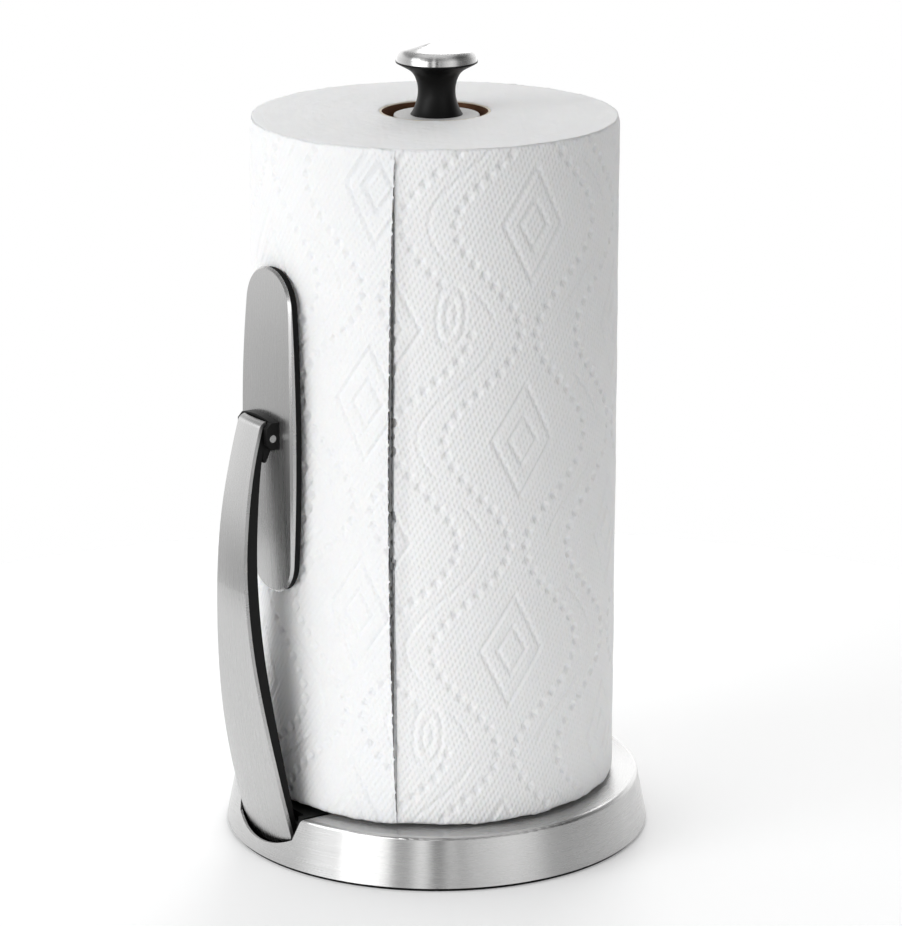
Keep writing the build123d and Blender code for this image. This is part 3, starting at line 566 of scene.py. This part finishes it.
def studio_light():
    """Softboxes, gaps and an overhead panel as one smooth pattern of light, behind a plain white backdrop."""
    world = bpy.data.worlds.new("studio")
    world.use_nodes = True
    bpy.context.scene.world = world
    sky = Shader(world.node_tree)
    sky.tree.nodes.clear()
    place = sky.node("TexCoord").outputs["Generated"]
    turned = sky.math("ARCTAN2", sky.dot(place, CAMERA_RIGHT), sky.dot(place, CAMERA_SIDE))
    around = sky.math("MULTIPLY_ADD", turned, 1 / TURN, 0.5)
    height = sky.math("MULTIPLY_ADD", sky.math("ARCSINE", sky.split(place)[2]), 1 / math.pi, 0.5)
    glow = sky.ramp(around, [(a / 360 + 0.5, level / RAMP_SCALE) for a, level in AROUND])
    band = sky.ramp(height, [(a / 180 + 0.5, level / RAMP_SCALE) for a, level in BAND], smooth=True)
    over = sky.ramp(height, [(a / 180 + 0.5, level / RAMP_SCALE) for a, level in OVERHEAD], smooth=True)
    lit = sky.math("MULTIPLY_ADD", sky.math("MULTIPLY", glow, RAMP_SCALE), band, over)
    studio = sky.node("Background", {"Color": lit, "Strength": RAMP_SCALE})
    backdrop = sky.node("Background", {"Color": (1, 1, 1, 1), "Strength": 1.0})
    seen = sky.node("LightPath").outputs["Is Camera Ray"]
    both = sky.node("MixShader", {0: seen, 1: studio.outputs[0], 2: backdrop.outputs[0]})
    out = sky.node("OutputWorld")
    sky.feed(out.inputs["Surface"], both.outputs[0])


def soft_lamp(name, side, elevation, distance, size, power, colour=(1, 1, 1)):
    """An area lamp aimed at the roll; side is the angle from the camera's side."""
    data = bpy.data.lights.new(name, "AREA")
    data.shape = "DISK"
    data.size = size
    data.energy = power
    data.color = colour
    lamp = bpy.data.objects.new(name, data)
    bpy.context.scene.collection.objects.link(lamp)
    angle = math.radians(CAMERA_AZIMUTH - 90 + side)
    level = distance * math.cos(math.radians(elevation))
    lamp.location = (level * math.cos(angle), level * math.sin(angle),
                     AIM_HEIGHT + distance * math.sin(math.radians(elevation)))
    lamp.rotation_euler = (math.radians(90 - elevation), 0, angle + math.pi / 2)
    return lamp


FLOOR_R = 0.42
FLOOR_GLOW = 0.2


def floor():
    """A round pale table top, a little brighter than its surroundings light it."""
    sides = 128
    angle = np.arange(sides) * TURN / sides
    rim = np.stack([np.cos(angle), np.sin(angle), angle * 0], -1) * FLOOR_R / MM
    surface = Surface("pale_table", Specular_IOR_Level=0.1)
    grain = surface.noise(surface.place, 300.0, 3.0)
    surface.set(Base_Color=surface.mix(grain, grey(0.84), grey(0.86)),
                Roughness=surface.span(grain, 0.5, 0.6),
                Emission_Color=(1, 1, 1, 1), Emission_Strength=FLOOR_GLOW)
    mesh_piece("table_top", rim, [list(range(sides))], surface.material, smooth=False)


def camera():
    data = bpy.data.cameras.new("camera")
    data.lens = LENS
    data.shift_x = SHIFT_X
    eye = bpy.data.objects.new("camera", data)
    bpy.context.scene.collection.objects.link(eye)
    tilt = math.radians(CAMERA_ELEVATION)
    level = CAMERA_DISTANCE * math.cos(tilt)
    eye.location = (CAMERA_SIDE[0] * level, CAMERA_SIDE[1] * level,
                    AIM_HEIGHT + CAMERA_DISTANCE * math.sin(tilt))
    eye.rotation_euler = (math.pi / 2 - tilt, 0, math.radians(CAMERA_AZIMUTH))
    bpy.context.scene.camera = eye


# ---------------------------------------------------------------- putting it together

camera()
studio_light()
soft_lamp("key", -64, 24, 1.5, 0.7, 4.9, (0.97, 0.985, 1.0))
soft_lamp("fill", -38, 8, 1.7, 0.9, 5.8)
soft_lamp("back", 172, 38, 1.7, 0.8, 7)
floor()
bpy.context.scene.view_settings.view_transform = "Standard"

SPUN, LONG, PLATED = spun_steel(), long_steel("long_steel"), plated_steel()
BLACK = moulded("black_plastic", 0.005, 0.4, 0.03)
SATIN = moulded("black_soft_grip", 0.003, 0.42, 0.015, scale=2600.0)
RUBBER = moulded("black_rubber", 0.004, 0.75, 0.06, scale=900.0)
NYLON = moulded("nylon", 0.72, 0.4, 0.02, warmth=0.03, spread=0.04, gloss=0.4)
LOOKS = {
    SPUN: ("base_shell", "knob_cap"),
    LONG: ("arm_cover", "pad_plate"),
    PLATED: ("pan_screws", "housing_screws", "arm_pivot_pin", "torsion_spring", "tie_rod", "tie_rod_nut",
             "tie_rod_washer", "bracket_screws", "pad_pin", "post_tube"),
    cast_iron(): ("base_weight",),
    BLACK: ("base_pan", "hinge_housing", "post_foot", "knob_insert", "arm_core", "pad_carrier",
            "pad_bracket"),
    SATIN: ("knob_neck",),
    RUBBER: ("base_foot_pad", "pad_rubber"),
    speckled_plastic(): ("post_cap",),
    NYLON: ("arm_bushings",),
    cardboard(): ("cardboard_core",),
}
for look, names in LOOKS.items():
    for name in names:
        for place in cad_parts[name].material_slots:
            place.material = look

sheet = outer_sheet()
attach(sheet, "towel_roll")
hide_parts("outer_sheet")

wound = wound_roll()
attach(wound, "towel_roll")
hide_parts("paper_roll")
